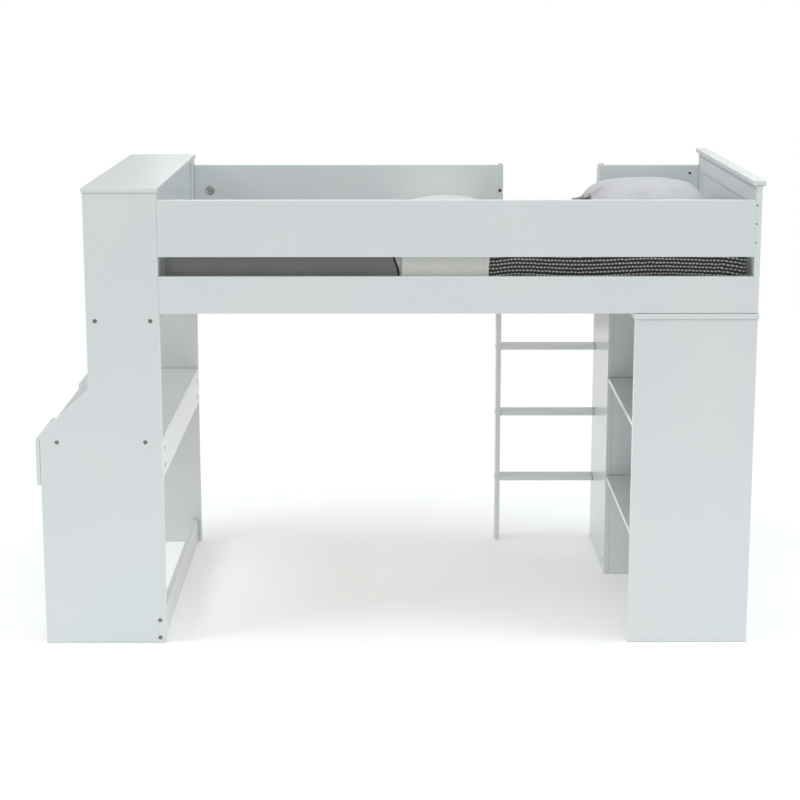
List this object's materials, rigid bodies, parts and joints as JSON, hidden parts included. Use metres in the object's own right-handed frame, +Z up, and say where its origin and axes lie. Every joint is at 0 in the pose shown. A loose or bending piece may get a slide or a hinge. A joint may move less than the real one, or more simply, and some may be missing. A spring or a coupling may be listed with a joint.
{
  "type": "loft bed with desk",
  "caption": "Twin loft bed with a guarded mattress over a hutch desk with drawers, an end cabinet of open shelves and a cupboard, and a flat side ladder.",
  "frame": {"origin": "middle of the whole object's footprint, on the floor", "axes": "+X along the bed from the desk end to the headboard, +Y across the bed towards the ladder side, +Z up"},
  "size_m": [2.4418, 1.1282, 1.588],
  "materials": {
    "white_lacquer": "white semi-gloss lacquer on smooth board",
    "birch_plywood": "clear-sealed light plywood",
    "satin_nickel": "satin nickel plate",
    "grey_sheet": "dark grey cotton sheet",
    "cream_quilt": "off-white quilted cotton",
    "charcoal_weave": "black woven throw with rows of small off-white dashes",
    "lavender_cotton": "pale lavender-grey cotton",
    "cream_cotton": "cream cotton"
  },
  "bodies": {
    "bed_frame": {"desk_end_panel_near": "white_lacquer", "desk_end_panel_far": "white_lacquer", "hutch_cap": "white_lacquer", "hutch_floor": "white_lacquer", "footboard_panel": "white_lacquer", "desk_top": "white_lacquer", "desk_apron": "white_lacquer", "floor_stretcher": "white_lacquer", "drawer_partition_near": "white_lacquer", "drawer_partition_far": "white_lacquer", "side_rail_near": "white_lacquer", "side_rail_far": "white_lacquer", "guard_rail_near": "white_lacquer", "guard_rail_far_long": "white_lacquer", "guard_rail_far_short": "white_lacquer", "headboard_stile_near": "white_lacquer", "headboard_stile_far": "white_lacquer", "headboard_rail_top": "white_lacquer", "headboard_rail_bottom": "white_lacquer", "headboard_panel": "white_lacquer", "headboard_cap": "white_lacquer", "cabinet_top": "white_lacquer", "cabinet_end_near": "white_lacquer", "cabinet_back": "white_lacquer", "cabinet_divider": "white_lacquer", "cupboard_side": "white_lacquer", "bookshelf_lower": "white_lacquer", "bookshelf_upper": "white_lacquer", "cupboard_floor": "white_lacquer", "cupboard_shelf": "white_lacquer", "ladder_stile_left": "white_lacquer", "ladder_stile_right": "white_lacquer", "ladder_rung_1": "white_lacquer", "ladder_rung_2": "white_lacquer", "ladder_rung_3": "white_lacquer", "ladder_rung_4": "white_lacquer", "drawer_runner_near_outer": "birch_plywood", "drawer_runner_near_inner": "birch_plywood", "drawer_runner_far_outer": "birch_plywood", "drawer_runner_far_inner": "birch_plywood", "slat_ledger_near": "birch_plywood", "slat_ledger_far": "birch_plywood", "slat_roll": "birch_plywood", "hinge_lower_cabinet_leaf": "satin_nickel", "hinge_upper_cabinet_leaf": "satin_nickel", "mattress": "grey_sheet", "folded_quilt": "cream_quilt", "woven_throw": "charcoal_weave", "pillow_upper": "lavender_cotton", "pillow_lower": "cream_cotton"},
    "drawer_near": {"drawer_front_near": "white_lacquer", "drawer_box_near": "birch_plywood", "drawer_knob_near": "satin_nickel"},
    "drawer_far": {"drawer_front_far": "white_lacquer", "drawer_box_far": "birch_plywood", "drawer_knob_far": "satin_nickel"},
    "cupboard_door": {"cupboard_door": "white_lacquer", "cupboard_knob": "satin_nickel", "hinge_lower_door_leaf": "satin_nickel", "hinge_upper_door_leaf": "satin_nickel"}
  },
  "joints": [
    {"name": "drawer_near_slide", "type": "slide", "parent": "bed_frame", "child": "drawer_near", "axis": [-1, 0, 0], "range_m": [0, 0.25]},
    {"name": "drawer_far_slide", "type": "slide", "parent": "bed_frame", "child": "drawer_far", "axis": [-1, 0, 0], "range_m": [0, 0.25]},
    {"name": "cupboard_door_hinge", "type": "hinge", "parent": "bed_frame", "child": "cupboard_door", "pos_m": [1.1899, 0.50035, 0.6], "axis": [0, 0, -1], "range_deg": [0, 110]}
  ]
}
